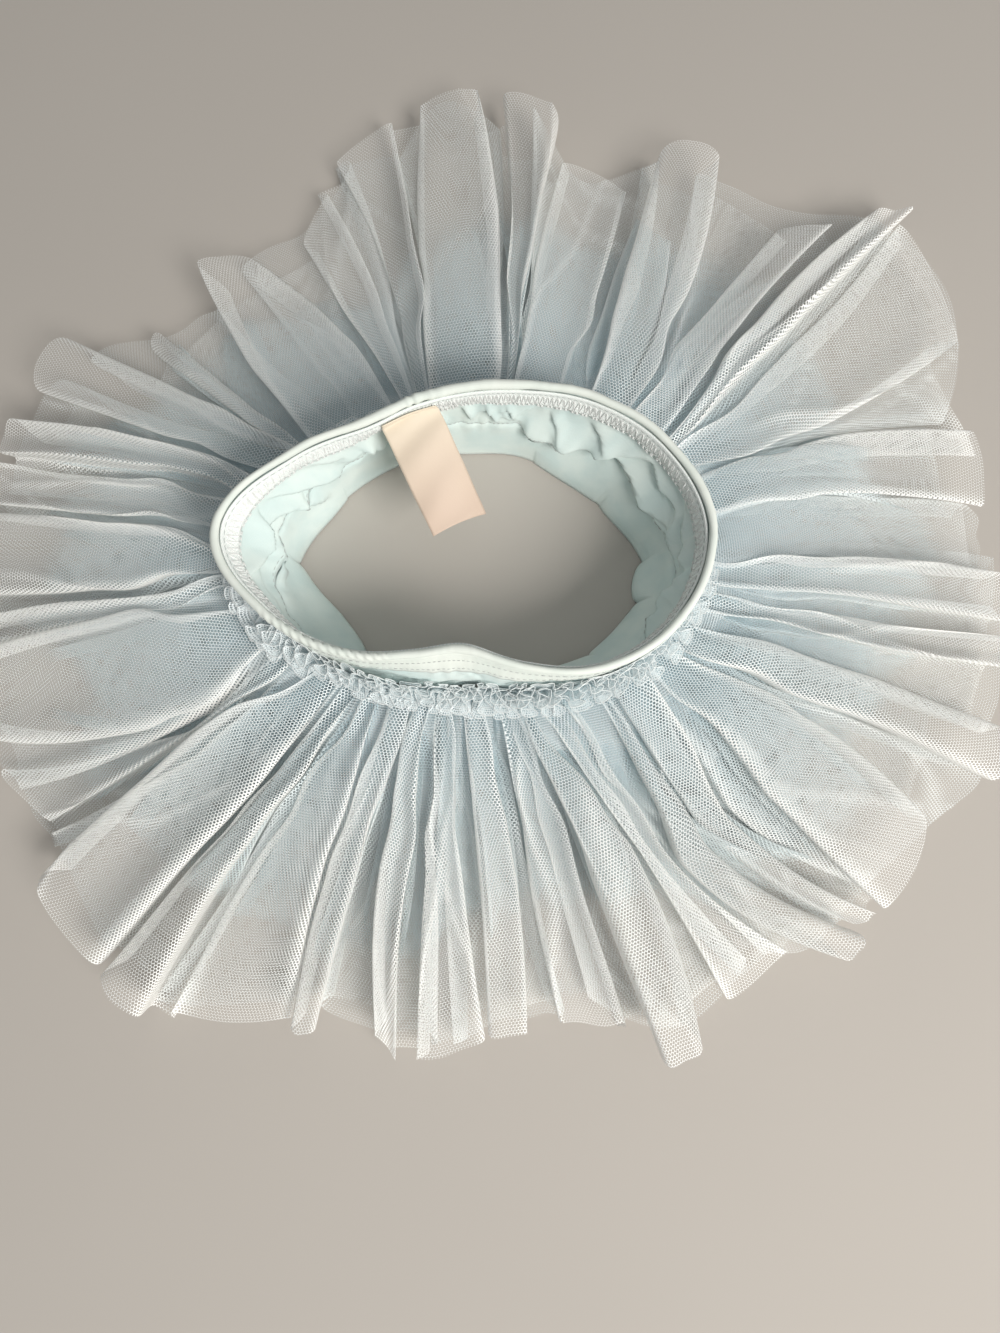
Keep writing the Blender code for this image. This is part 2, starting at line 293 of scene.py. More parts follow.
def buildKnitGroup():
    # jersey: columns of slanted half stitches, two waves leaning each way from a column's middle
    tree, given, result = newGroup("jerseyStitch", {"Cloth": (0.0, 0.0, 0.0), "Stitch": 0.0007},
                                   ["Relief", "Mottle"])
    scale = calc(tree, "DIVIDE", 1.0, given["Stitch"])
    grown = addNode(tree, "VectorMath", {0: given["Cloth"], "Scale": scale}, operation="SCALE")
    parts = addNode(tree, "SeparateXYZ", {0: grown.outputs[0]})
    lean = calc(tree, "PINGPONG", parts.outputs["X"], 0.5)
    slant = calc(tree, "ADD", parts.outputs["Y"], lean)
    bump = calc(tree, "SINE", calc(tree, "MULTIPLY", slant, 2 * math.pi))
    rib = calc(tree, "SINE", calc(tree, "MULTIPLY", lean, 2 * math.pi))
    both = calc(tree, "MULTIPLY", calc(tree, "MULTIPLY_ADD", bump, 0.5, 0.5), rib)
    tree.links.new(both, result["Relief"])
    blotch = addNode(tree, "TexNoise", {"Vector": given["Cloth"], "Scale": 60.0, "Detail": 4.0})
    tree.links.new(rangeMap(tree, blotch.outputs["Fac"], 0.3, 0.7, 0.0, 1.0), result["Mottle"])
    return tree


netGroup = buildNetGroup()
knitGroup = buildKnitGroup()


def newMaterial(name, roughness, sheen=0.0, specular=0.3):
    # a Principled material with its even values set, its tree and its shader
    material = bpy.data.materials.new(name)
    material.use_nodes = True
    tree = material.node_tree
    shader = tree.nodes["Principled BSDF"]
    shader.inputs["Roughness"].default_value = roughness
    shader.inputs["Sheen Weight"].default_value = sheen
    shader.inputs["Specular IOR Level"].default_value = specular
    return material, tree, shader


def netMaterial(name, near, far, foldHighlight, density, gathered, mesh):
    # net whose colour goes from painted shade at the seam to a painted highlight at the hem; its threads
    # crowd where the cloth is gathered, and more along a folded edge, which also gets a painted highlight
    material, tree, shader = newMaterial(name, 0.5, specular=0.35)
    gather = addNode(tree, "Attribute", attribute_name="gather").outputs["Fac"]
    fold = addNode(tree, "Attribute", attribute_name="fold").outputs["Fac"]
    crowd = calc(tree, "MULTIPLY_ADD", gather, gathered, density)
    crowd = calc(tree, "ADD", crowd, calc(tree, "MULTIPLY", fold, netLook["foldCrowd"]))
    net = addNode(tree, "Group", {"Cloth": clothSpot(tree), "Mesh": mesh, "Density": crowd},
                  node_tree=netGroup)
    # painted shade where the gathers crowd, painted highlight towards the hem and on folds
    finish(tree, shader, mixColor(tree, fold, mixColor(tree, gather, far, near), foldHighlight))
    tree.links.new(net.outputs["Thread"], shader.inputs["Alpha"])
    return material


def knitMaterial(name, light, deep, roughness=0.65):
    # jersey with fine stitches, a soft mottle and a soft sheen
    material, tree, shader = newMaterial(name, roughness, 0.25)
    knit = addNode(tree, "Group", {"Cloth": clothSpot(tree)}, node_tree=knitGroup).outputs
    finish(tree, shader, mixColor(tree, knit["Mottle"], light, deep), knit["Relief"], 0.35)
    return material


def speckle(tree, shader, color, shade, scale, detail):
    # a colour that drifts to a darker shade of itself and back
    spot = addNode(tree, "TexCoord").outputs["Object"]
    noise = addNode(tree, "TexNoise", {"Vector": spot, "Scale": scale, "Detail": detail})
    finish(tree, shader, mixColor(tree, noise.outputs["Fac"], color, tuple(shade * part for part in color)))


def threadMaterial(name, color):
    # sewing thread: light and dark along its length
    material, tree, shader = newMaterial(name, 0.5, 0.2)
    speckle(tree, shader, color, 0.82, 2500.0, 1.0)
    return material


print("finishes ready")


# The knit tube. Rows go round the plan: outer radius under the roll, the rim's lift, outer radius
# at the seam and at the lower edge, and the power of the wall's lean (high: it flares under the
# roll). A fold is angle and height at one end, the same at the other, how far it reaches above and
# below its line, and depth; a scallop is start, end and depth. perDegree is millimetres round.
yoke = {
    "wall": 1.2 * milli, "underRoll": 1.1 * milli, "perDegree": 1.4,
    "rowsColumns": ("angle", "rim", "lift", "seam", "floor", "power"),
    "rows": (
        (0, 96.6, 0, 86, 77, 0.8), (22.5, 88, 0.5, 78, 66, 0.8), (45, 75.7, 1, 69, 59, 0.8),
        (67.5, 64.5, 1, 60, 56.5, 0.8), (90, 59, 1, 56, 53.5, 0.8), (112.5, 58, 0.5, 56, 56, 0.8),
        (135, 61, 0, 60, 60, 0.8), (157.5, 78, -1, 70, 67, 0.8), (180, 99, -2, 82, 76, 0.8),
        (202.5, 86.5, -3, 78.5, 68, 0.8), (225, 70.5, -4, 71, 61, 1), (247.5, 56, -2, 62, 54, 2),
        (270, 50.6, 1, 57.5, 50, 2.6), (292.5, 61.5, 0, 64, 54, 2), (315, 79, 0, 75.5, 63, 1),
        (337.5, 91.5, 0, 85, 73, 0.8),
    ),
    "folds": (
        (66, 25, 46, 28, 6, 1.3, 5.6), (50, 27, 33, 33, 5.5, 1.3, 6), (37, 32, 21, 44, 4.5, 1.4, 5),
        (34, 32, 10, 28.5, 2.8, 1.2, 5.2), (28, 26, 2, 32, 2.4, 1.2, 4.4),
        (16, 24.5, 1, 29, 2.6, 1.1, 4.4), (14, 45, 357, 36, 3.2, 1.2, 4.4),
        (8, 36, 356, 29, 2.2, 1.2, 3.8), (26, 43, 13, 34, 2.6, 1.2, 3.4), (3, 45, 352, 33, 2.8, 1.3, 3.8),
        (352, 42, 342, 26, 3.6, 1.4, 4.6), (346, 32, 333, 24, 3.4, 1.6, 3.6),
        (44, 40, 33, 36, 2.4, 1.2, 2.8), (57, 38, 50, 31, 2.4, 1.3, 2.6), (168, 41, 150, 27, 4, 1.3, 5),
        (170, 33, 157, 17, 3, 1.4, 4.2), (172, 42, 181, 31, 3, 1.2, 5.6),
        (181, 31, 193, 46, 2.4, 1.5, 5.2), (176, 28, 190, 23, 2.6, 1.2, 4.6),
        (162, 46, 146, 38, 3.4, 1.4, 3.6), (164, 30, 176, 36, 2.2, 1.3, 2.8),
        (146, 34, 134, 38, 2.8, 1.4, 3.2), (140, 41, 127, 31, 3.2, 1.4, 3.4),
        (120, 39, 112, 31, 2.6, 1.5, 2.8), (104, 41, 100, 30, 2.2, 1.4, 2.2),
        (92, 42, 88, 31, 2.2, 1.4, 2.4), (82, 41, 77, 30, 2.2, 1.3, 2.8), (74, 42, 70, 33, 2, 1.3, 2.2),
        (205, 38, 218, 28, 3, 2.2, 1.6), (236, 38, 250, 29, 3, 2, 1.2), (300, 38, 288, 29, 3, 2, 1.2),
        (322, 40, 310, 28, 3, 2, 1.6),
    ),
    "smallFolds": 72,
    "scallops": (
        (1, 26, 1.5), (347, 361, 5), (322, 347, 2.5), (296, 322, 1.5), (28, 60, 1.5), (180, 222, 7.5),
        (224, 244, 1.2), (150, 179, 2),
    ),
    "steps": 720,
}


def yokeLine(angle, name):
    # one line of the tube's table round the plan, in metres
    return milli * tableCurve(angle, yoke, "rows", name)


def yokeRadius(angle, height):
    # seam to rim grows as share to the table's power, lower edge to seam as share to the power 1.5
    seam = yokeLine(angle, "seam")
    power = yokeLine(angle, "power") / milli
    upper = np.clip((height - seamHeight) / (rollFoot - seamHeight), 0.0, 1.0) ** power
    lower = np.clip(height / seamHeight, 0.0, 1.0) ** 1.5
    above = seam + upper * (yokeLine(angle, "rim") - yoke["underRoll"] - seam)
    under = yokeLine(angle, "floor") + lower * (seam - yokeLine(angle, "floor"))
    return np.where(height >= seamHeight, above, under)


def smallFolds():
    # short shallow folds scattered over the wall, leaning both ways, as rows of the folds table
    value = np.random.default_rng(7).uniform(0.0, 1.0, (yoke["smallFolds"], 5))
    start = np.stack([360.0 * value[:, 0], 26.0 + 17.0 * value[:, 1]], axis=1)
    along = np.stack([4.0 + 8.0 * value[:, 2], 16.0 * (value[:, 3] - 0.5)], axis=1)
    form = np.stack([1.6 + value[:, 4], 1.0 + 0.4 * value[:, 2], 0.5 + 1.1 * value[:, 4]], axis=1)
    return np.concatenate([start, start + along, form], axis=1).tolist()


allFolds = list(yoke["folds"]) + smallFolds()


def foldDepth(angle, height):
    # each fold: a bell across its line, steeper on one side, swelling and dying along it
    wide = yoke["perDegree"]
    across = angle * wide
    up = height / milli
    total = np.zeros(np.broadcast(angle, height).shape)
    for angleA, heightA, angleB, heightB, above, below, depth in allFolds:
        turn = (angleB - angleA + 180.0) % 360.0 - 180.0
        lineX, lineY = turn * wide, heightB - heightA
        length = math.hypot(lineX, lineY)
        awayX = ((across - angleA * wide + 180.0 * wide) % (360.0 * wide)) - 180.0 * wide
        awayY = up - heightA
        share = (awayX * lineX + awayY * lineY) / length ** 2
        off = (awayY * lineX - awayX * lineY) / length * math.copysign(1.0, lineX)
        reach = np.where(off > 0, above, below)
        taper = smoothStep(-0.25, 0.3, share) * (1.0 - smoothStep(0.7, 1.25, share))
        total = total + depth * taper * np.exp(-(off / reach) ** 2)
    return milli * total


# Gathers in the knit, in millimetres: how many round the plan, how deep, and how far up and down
# they reach. Those of the seam have finer ones among them; the groove is where the net is sewn on.
gathers = {
    "seam": {"count": 84, "fine": 150, "depth": 0.75, "reach": 5.5},
    "band": {"count": 130, "depth": 0.35, "at": 42.0, "reach": 5.0},
    "broad": {"count": 26, "depth": 0.9, "full": 12.0},
    "groove": {"depth": 0.55, "reach": 0.9}, "fade": (44.0, 48.0),
}


def puckers(angle, height):
    # random gathers times a bell: along the seam, under the elastic, and broad ones between
    seam, band, broad, groove = [gathers[name] for name in ("seam", "band", "broad", "groove")]
    turn = np.mod(angle, 360.0) / 360.0
    up = height / milli
    away = np.abs(height - seamHeight) / milli
    drift = turn + 0.0006 * np.sin(up * 0.5)
    seamPart = closedNoise(drift, seam["count"], 3) + 0.5 * closedNoise(drift, seam["fine"], 4)
    seamPart = seamPart * np.exp(-(away / seam["reach"]) ** 2)
    bandPart = closedNoise(turn, band["count"], 5) * np.exp(-((up - band["at"]) / band["reach"]) ** 2)
    broadPart = closedNoise(turn + 0.01 * up / 26.0, broad["count"], 6) * smoothStep(0.0, broad["full"], up)
    groovePart = np.exp(-(away / groove["reach"]) ** 2)
    rest = 1.0 - smoothStep(*gathers["fade"], up)
    return milli * (seam["depth"] * seamPart + band["depth"] * bandPart * rest
                    + broad["depth"] * broadPart * rest - groove["depth"] * groovePart)


def scallops(angle, height):
    # the free lower edge leans in between its corners: half a sine across each stretch
    low = 1.0 - smoothStep(2.0, 17.0, height / milli)
    total = np.zeros(np.broadcast(angle, height).shape)
    for start, end, depth in yoke["scallops"]:
        share = np.clip(np.mod(angle - start, 360.0) / (end - start), 0.0, 1.0)
        total = total + depth * np.sqrt(np.sin(math.pi * share).clip(0.0))
    return milli * total * low


def onYoke(angle, height, inset):
    # a point on the tube's outside, or inset from it towards the waist's centre; the inner face
    # of a deep fold also sags by six tenths of its depth, so that it hangs over what is below it
    rest = 1.0 - smoothStep(37.0, 44.5, height / milli)
    fold = foldDepth(angle, height) * rest
    pushed = fold + puckers(angle, height) + scallops(angle, height)
    level = height + yokeLine(angle, "lift") * smoothStep(26.0, 44.0, height / milli)
    sag = 0.6 * np.maximum(fold, 0.0) * smoothStep(0.0, 8.0, height / milli)
    return around(angle, yokeRadius(angle, height) - pushed - inset, level - sag)


def yokeShell(name, low, high, rows, material, slot, node, wall=yoke["wall"], inset=0.0):
    # up the outside and down the inside, closed all round
    angle = np.linspace(0.0, 360.0, yoke["steps"], endpoint=False)[None, :]
    heights = np.linspace(low, high, rows)
    outside = onYoke(angle, heights[:, None], inset)
    inside = onYoke(angle, heights[::-1, None], inset + wall)
    points = np.concatenate([outside, inside])
    piece = gridMesh(name, points, closedUp=True, uv=walkedUv(points, True))
    return place(piece, material, slot, [node])


def buildYoke():
    # one tube in two pieces, parted where the net is sewn on
    cloth = knitMaterial("yokeKnit", (0.74, 0.84, 0.815), (0.64, 0.77, 0.76))
    upper = yokeShell("yokeUpper", seamHeight + 0.3 * milli, highYoke.z - milli, 30, cloth, "yoke",
                      "yoke_upper")
    lower = yokeShell("yokeLower", 0.3 * milli, seamHeight - 0.1 * milli, 13, cloth, "yoke", "yoke_lower")
    return upper, lower


yokeUpper, yokeLower = buildYoke()
print("yoke ready")

# The rolled edge and the elastic under it.
casing = {
    "radii": (
        (0, 1.7), (45, 1.9), (90, 2.2), (120, 2.1), (160, 1.8), (200, 1.8), (245, 1.8), (270, 1.75),
        (315, 1.7),
    ),
    "radiiColumns": ("angle", "radius"), "steps": 1200, "sides": 14,
    "ropeFrom": 200.0, "ropeTo": 243.0, "ropeTurns": 136, "ropeDepth": 0.85 * milli,
    "joinAt": 113.0, "joinWide": 8.0, "bandWide": 9.2 * milli, "bandThick": 0.8 * milli,
}
elastic = {"wall": 0.8 * milli, "inset": 2.5 * milli, "wide": 8.6 * milli, "rise": 0.8 * milli}
# Millimetres round the wall, a dash's radius, and the overlock: loops, crossed threads behind the
# label and where, and a thread's radius.
stitches = {"girth": 490.0, "dash": 0.15 * milli, "loops": 216, "messy": 34, "messyAt": 103.0,
            "thread": 0.2 * milli}


def buildCasing():
    # a circle carried round the rim; rope puckers are a cosine of the turn round both ways
    angle = np.linspace(0.0, 360.0, casing["steps"], endpoint=False)[None, :]
    side = (np.arange(casing["sides"]) * 2 * math.pi / casing["sides"])[:, None]
    turn = angle / 360.0
    rope = smoothStep(casing["ropeFrom"], casing["ropeFrom"] + 8.0, angle)
    rope = rope * (1.0 - smoothStep(casing["ropeTo"] - 6.0, casing["ropeTo"], angle))
    twist = np.abs(np.cos(0.5 * casing["ropeTurns"] * np.radians(angle) + 1.6 * side)) - 0.6
    join = np.exp(-((angle - casing["joinAt"]) / casing["joinWide"]) ** 2)
    ripple = closedNoise(turn, 220, 11) * (0.05 + 0.28 * join) + 0.10 * closedNoise(turn, 40, 12)
    plain = milli * tableCurve(angle, casing, "radii", "radius")
    radius = plain + rope * casing["ropeDepth"] * twist + milli * ripple
    radius = radius - 0.25 * milli * np.exp(-((np.mod(side, 2 * math.pi) - 3.7) / 0.35) ** 2)
    centre = yokeLine(angle, "rim") - plain + 0.2 * milli * closedNoise(turn, 60, 13)
    level = rollFoot + plain + yokeLine(angle, "lift")
    points = around(angle, centre + radius * np.cos(side), level + radius * np.sin(side))
    piece = gridMesh("rolledCasing", points, closedUp=True, uv=walkedUv(points, True))
    cloth = knitMaterial("casingKnit", (0.81, 0.86, 0.81), (0.74, 0.81, 0.76), roughness=0.7)
    place(piece, cloth, "casing", ["waist_casing"])
    # the turned-down part of the casing, outside the yoke: down its face and back up behind it
    angle = np.linspace(0.0, 360.0, 600, endpoint=False)[None, :]
    heights = np.linspace(rollFoot + milli, rollFoot - casing["bandWide"], 7)
    soft = casing["bandThick"] * np.array([1.0, 1.15, 0.9, 1.1, 0.95, 1.0, 0.6])[:, None]
    uneven = 0.1 * milli * closedNoise(angle / 360.0, 170, 15)
    front = onYoke(angle, heights[:, None], -soft - uneven)
    behind = onYoke(angle, heights[::-2, None], -0.05 * milli)
    points = np.concatenate([behind, front])[::-1]
    band = gridMesh("casingBand", points, closedUp=True, uv=walkedUv(points, True))
    place(band, cloth, "casing")
    return piece, band


def elasticMaterial():
    # crossed rows of looped thread; the small gaps between the loops are darker, as painted shade
    material, tree, shader = newMaterial("elasticWeave", 0.85, 0.2)
    cloth = clothSpot(tree)
    drift = addNode(tree, "TexNoise", {"Vector": cloth, "Scale": 700.0, "Detail": 2.0}).outputs["Fac"]
    parts = addNode(tree, "SeparateXYZ", {0: cloth})
    ribs = calc(tree, "SINE", calc(tree, "MULTIPLY", parts.outputs["Y"], 2 * math.pi / (1.3 * milli)))
    weave = calc(tree, "SINE", calc(tree, "MULTIPLY", parts.outputs["X"], 2 * math.pi / (1.4 * milli)))
    both = calc(tree, "ADD", calc(tree, "MULTIPLY", ribs, weave), calc(tree, "MULTIPLY", drift, 1.6))
    share = rangeMap(tree, both, 0.0, 1.1, 0.0, 1.0)
    # grey in the low gaps of the relief as painted shade, near white on the loops, with a random drift
    finish(tree, shader, mixColor(tree, share, (0.76, 0.84, 0.82), (0.94, 0.97, 0.96)), both, 0.5)
    return material


def buildElastic():
    # a narrower shell inside the tube, its top just above the roll's foot
    top = rollFoot + elastic["rise"]
    return yokeShell("waistElastic", top - elastic["wide"], top, 8, elasticMaterial(), "elastic",
                     "waist_elastic", elastic["wall"], elastic["inset"])


def stitchRow(height, inset, length, pitch):
    # dashes along the wall, one each pitch, as threads x points; all in millimetres but height
    count = int(stitches["girth"] / pitch)
    start = np.arange(count)[:, None] * 360.0 / count
    angle = start + np.linspace(0.0, 1.0, 5)[None] * 360.0 * length / stitches["girth"]
    return onYoke(angle, height + 0.0 * angle, milli * inset)


def buildStitches():
    # dark dashes in a groove under the roll, two rows on the casing's outside, and one inside along
    # the gathering seam; then the overlock's loops, thrown to and fro over the elastic
    inside = (elastic["inset"] + elastic["wall"]) / milli
    outside = -casing["bandThick"] / milli
    top = rollFoot - 1.0 * milli
    # the thread is darkened to grey as painted shade of the groove under the roll; the rows outside and at
    # the seam share that grey
    grey = threadMaterial("sewingThread", (0.52, 0.56, 0.55))
    rows = [stitchRow(top + 0.2 * milli, inside + 0.12, 1.9, 2.6),
            stitchRow(rollFoot - 2.6 * milli, outside - 0.08, 1.7, 2.7),
            stitchRow(rollFoot - 6.6 * milli, outside - 0.08, 1.7, 2.7),
            stitchRow(seamHeight + 1.2 * milli, yoke["wall"] / milli + 0.1, 1.6, 2.6)]
    place(threadMesh("stitchRows", np.concatenate(rows), stitches["dash"]), grey, "elastic")
    share = np.linspace(0.0, 1.0, 9)[None]
    pitch = 360.0 / stitches["loops"]
    start = np.arange(stitches["loops"])[:, None] * pitch
    jitter = np.random.default_rng(21).uniform(-0.22, 0.22, (3, stitches["loops"], 1)) * pitch
    low = rollFoot + elastic["rise"] - elastic["wide"] + 0.2 * milli
    high = top - 0.9 * milli
    rise = 0.5 - 0.5 * np.cos(2 * math.pi * share)
    inset = milli * (inside + 0.02 + 0.1 * np.sin(math.pi * share))
    over = onYoke(start + 1.25 * pitch * share + jitter[0], low + (high - low) * rise, inset)
    back = onYoke(start + pitch * (0.5 + 1.1 * share) + jitter[1], high - 0.75 * (high - low) * rise,
                  inset + 0.08 * milli)
    hook = pitch * (share + 0.45 * np.sin(2 * math.pi * share))
    edge = onYoke(start + hook + jitter[2], low + milli * (0.9 * rise - 0.7), inset)
    # where the elastic's ends overlap, behind the label, the overlock is run over twice
    value = np.random.default_rng(22).uniform(-1.0, 1.0, (5, stitches["messy"], 1))
    bend = np.sin(2 * math.pi * share + 3.0 * value[4]) * (0.6 + 0.4 * value[3])
    climb = 2.2 * value[2] + 4.4 * (share - 0.5) * np.sign(value[1])
    messy = onYoke(stitches["messyAt"] + 9.0 * value[0] + 1.5 * value[1] * share + 0.5 * bend,
                   0.5 * (low + high) + milli * climb, inset + milli * (0.25 + 0.35 * np.abs(bend)))
    threads = np.concatenate([over, back, edge, messy])
    loops = threadMesh("overlockLoops", threads, stitches["thread"])
    place(loops, threadMaterial("overlockThread", (0.95, 0.97, 0.96)), "elastic")


rolledCasing, casingBand = buildCasing()
waistElastic = buildElastic()
buildStitches()
print("casing, elastic and stitches ready")


# The gathered heading: ribbons of net standing above the seam, thrown into loops. A ribbon is its
# loops, height, lean, swing out and in, swing to the side, and seed.
heading = {
    "low": 26.5 * milli, "steps": 16, "rows": 5, "edge": 0.17 * milli,
    "dipAt": 268.0, "dipWide": 20.0, "dip": 0.5, "clear": 1.6 * milli,
    "reachColumns": ("angle", "reach"),
    "reach": (
        (0, 102), (22, 95), (45, 84), (67, 73), (90, 68), (112, 67), (135, 73), (157, 88), (180, 98),
        (198, 100), (212, 91), (225, 81), (247, 73), (270, 71), (292, 77), (315, 89), (338, 99),
    ),
    "ribbons": (
        (70, 16, 0.06, 0.12, 0.26, 35), (66, 14, 0.2, 0.16, 0.27, 31), (76, 12, 0.38, 0.22, 0.28, 32),
        (63, 9.5, 0.56, 0.26, 0.3, 33), (71, 7.5, 0.72, 0.26, 0.28, 34),
    ),
}


def headingRibbon(loops, height, lean, swing, side, seed):
    # a meander with round loops: it swings out and in once a loop and sideways twice, more and
    # more up its height; lean and swing are shares of the frill's width there
    count = loops * heading["steps"]
    turn = (np.arange(count) / count)[None, :]
    share = np.linspace(0.0, 1.0, heading["rows"])[:, None]
    phase = 2 * math.pi * (loops * turn + 0.45 * closedNoise(turn, loops, seed))
    strength = 1.0 + 0.45 * closedNoise(turn, loops // 2, seed + 10)
    grow = 0.12 + 0.88 * share ** 1.1
    sideways = np.sin(2 * phase + 0.8 * closedNoise(turn, 40, seed + 50))
    angle = 360.0 * turn + 360.0 / loops * side * grow * strength * sideways
    uneven = 1.0 + 0.3 * closedNoise(turn, loops, seed + 20)
    start = yokeRadius(360.0 * turn, seamHeight) + milli
    reach = milli * tableCurve(360.0 * turn, heading, "reach", "reach")
    out = lean * share ** 1.2 + swing * grow * strength * np.cos(phase)
    out = out + 0.1 * closedNoise(turn, 31, seed + 30) * share
    dip = 1.0 - heading["dip"] * np.exp(-((360.0 * turn - heading["dipAt"]) / heading["dipWide"]) ** 2)
    level = heading["low"] + milli * height * share * uneven * dip
    level = level - 3.0 * milli * share ** 2 * np.maximum(out - 0.3, 0.0)
    radius = np.maximum(start + (reach - start) * out, yokeRadius(angle, level) + heading["clear"])
    return around(angle, radius, level)


def joinPieces(name, parts):
    # one mesh of several objects, none of which is placed or turned
    bpy.ops.object.select_all(action="DESELECT")
    for part in parts:
        part.select_set(True)
    bpy.context.view_layer.objects.active = parts[0]
    bpy.ops.object.join()
    parts[0].name = name
    return parts[0]


def buildHeading(material):
    # each ribbon is sheer, with fine rolled threads of net along its cut edge and one row below it
    parts = []
    edges = []
    for row in heading["ribbons"]:
        points = headingRibbon(*row)
        share = np.linspace(0.0, 1.0, heading["rows"])[:, None]
        # gather also paints shade low on a ribbon; fold crowds the threads and adds a little painted
        # highlight near its top
        masks = {"gather": 1.0 - 0.7 * share, "fold": 0.12 * share ** 3}
        parts.append(gridMesh("ribbon", points, uv=walkedUv(points, at=1.0), masks=masks))
        for level, thick in ((-1, 1.0), (-2, 0.7)):
            line = points[level]
            ahead = np.roll(line, -1, axis=0) - np.roll(line, 1, axis=0)
            ahead /= np.linalg.norm(ahead, axis=-1, keepdims=True)
            side = np.cross(ahead, np.array([0.0, 0.0, 1.0]))
            up = np.cross(side, ahead)
            turn = np.arange(4)[:, None, None] * 0.5 * math.pi
            ring = np.cos(turn) * side[None] + np.sin(turn) * up[None]
            tube = line[None] + thick * heading["edge"] * ring
            edges.append(gridMesh("edge", tube, closedUp=True, uv=walkedUv(tube, True)))
    ribbons = place(joinPieces("gatheredHeading", parts), material, "heading", ["tulle_heading"])
    thread = threadMaterial("headingEdge", (0.92, 0.97, 0.98))
    place(joinPieces("headingEdges", edges), thread, "heading")
    return ribbons


# The long net. Each petal has a left and a right folded edge: its angle at the seam, midway and
# at the hem, and how far it reaches; then the crest's height at the hem and the hem between petals.
# middle and kink place and sharpen a folded line's bend; the rest is how high pleats, flutter and
# creases stand, and how near its noise line a crease begins.
longNet = {
    "petalsColumns": ("rootL", "midL", "hemL", "rootR", "midR", "hemR", "reachL", "reachR", "rise", "gap"),
    "petals": (
        (8, 10, 5.5, 17, 19, 14.5, 221, 226, 24, 230), (20, 20.5, 25, 24, 33.5, 38.5, 243, 256, 12, 255),
        (25, 34.5, 39, 26, 38, 41.5, 258, 240, 22, 232),
        (28, 40, 43.5, 39, 45.5, 47.8, 228, 212, 15, 209),
        (40, 48.5, 59, 50, 60, 65.5, 226, 214, 20, 185), (60, 64, 68, 74, 77, 77.5, 193, 200, 10, 200),
        (75, 78, 79.5, 77, 81.5, 86.5, 222, 230, 18, 212),
        (80, 85, 89.8, 104, 98.5, 96.5, 232, 228, 15, 222),
        (105, 101, 100, 109, 106, 108, 218, 202, 12, 200),
        (110, 109, 111, 114, 116, 117, 192, 170, 11, 142),
        (119, 119, 125, 146, 140, 132, 172, 186, 16, 150),
        (147, 145, 142.5, 150, 148.5, 146, 177, 174, 14, 160),
        (148, 149.5, 150.5, 158, 158.5, 158, 205, 206, 18, 194),
        (161, 160.5, 162.5, 165, 165, 167.5, 208, 208, 22, 205),
        (168, 167, 168.5, 176, 174, 173.5, 212, 210, 15, 208),
        (181, 176, 174.5, 186, 186, 184, 222, 226, 15, 220),
        (187, 188, 187, 190, 191, 191, 226, 228, 14, 222),
        (198, 192, 193, 205, 211, 200, 226, 225, 20, 214),
        (207, 213, 205, 213, 214.5, 213, 218, 206, 10, 205),
        (221, 215.8, 218, 228, 229, 228.5, 214, 219, 20, 216),
        (229, 230.5, 230, 234, 234, 236, 222, 224, 22, 222),
        (236, 236.5, 238, 240, 245, 249, 219, 200, 12, 195),
        (244, 247, 250, 251, 251.5, 252.8, 199, 200, 18, 192),
        (252, 255, 259.5, 257, 260, 262, 196, 203, 18, 203),
        (259, 263, 265, 264, 269, 272.5, 204, 197, 15, 190),
        (268, 272, 273, 275, 278.5, 277.2, 192, 192, 16, 186),
        (281, 280.5, 281, 286, 288, 288, 193, 200, 15, 200),
        (287.5, 290, 290.2, 289.5, 298, 294.8, 211, 213, 24, 206),
        (293, 299, 300, 303, 302.5, 308, 211, 207, 12, 206),
        (311, 303.5, 311.5, 313, 308, 315, 219, 218, 22, 214),
        (315, 309.5, 315.5, 325, 313.5, 317.8, 216, 216, 20, 218),
        (326, 320, 319, 332, 333, 330, 222, 219, 14, 212),
        (333, 335.5, 336.3, 340, 342, 341.5, 236, 234, 20, 228),
        (344, 345.5, 347.5, 349, 350, 351, 230, 232, 18, 228),
        (351, 353, 353, 357, 359, 358.5, 230, 226, 16, 215),
    ),
    "middle": 0.45, "kink": 0.6,
    "pleat": 2.0, "flutter": 3.0, "crease": 1.3, "creaseWide": 0.075,
}
shortNet = {
    "hemColumns": ("angle", "reach"),
    "hem": (
        (0, 200), (20, 185), (40, 185), (45, 190), (62, 182), (80, 183), (90, 165), (105, 143),
        (116, 142), (132, 155), (146, 165), (160, 187), (186, 189), (196, 185), (212, 185), (225, 175),
        (236, 175), (250, 171), (262, 169), (270, 158), (290, 158), (300, 165), (305, 179), (320, 190),
        (335, 191), (348, 196),
    ),
}


def inTurn(*values):
    # the first of each, then the second of each, in one row: five controls for every petal
    return np.stack(values, axis=1).reshape(-1)


